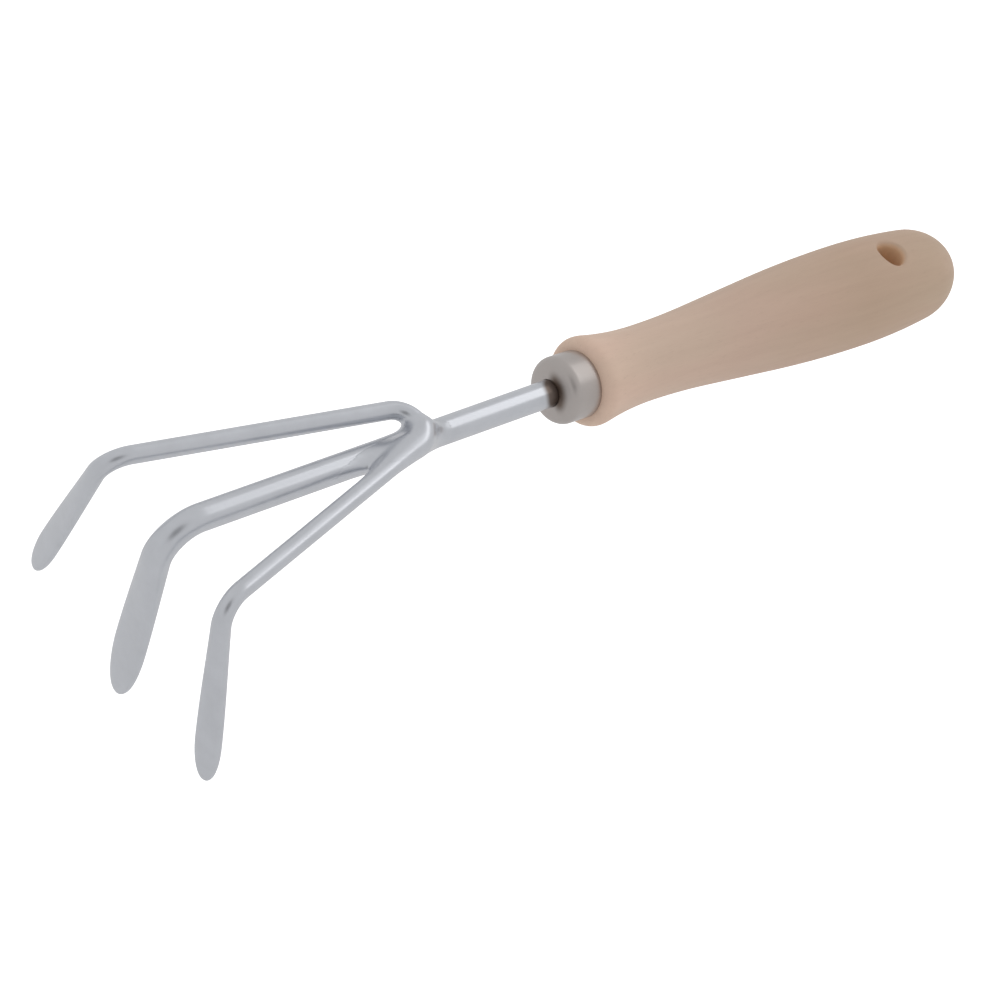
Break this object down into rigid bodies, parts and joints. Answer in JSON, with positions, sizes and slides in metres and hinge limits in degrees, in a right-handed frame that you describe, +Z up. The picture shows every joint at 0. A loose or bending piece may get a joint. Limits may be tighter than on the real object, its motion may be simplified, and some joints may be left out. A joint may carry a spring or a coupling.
{
  "type": "hand cultivator",
  "caption": "Hand cultivator with flattened steel tines, a domed ferrule and a turned wooden handle with a hanging hole.",
  "frame": {"origin": "middle of the hanging hole, on the handle's centre line", "axes": "+X along the handle toward the tines, +Z up with the tines pointing down, +Y to one side across the tines; the row is symmetric about the XZ plane"},
  "size_m": [0.3068, 0.0866, 0.0918],
  "materials": {
    "handle_wood": "fine-sanded pale hardwood, satin clear coat",
    "ferrule_steel": "satin grey, spun",
    "rod_steel": "soft bright plating, lightly polished",
    "weld_steel": "dressed weld metal under the same plating"
  },
  "bodies": {
    "root": {"handle": "handle_wood", "ferrule": "ferrule_steel", "centre_rod": "rod_steel", "outer_tine_rod": "rod_steel", "weld_left": "weld_steel", "weld_right": "weld_steel"}
  },
  "joints": []
}
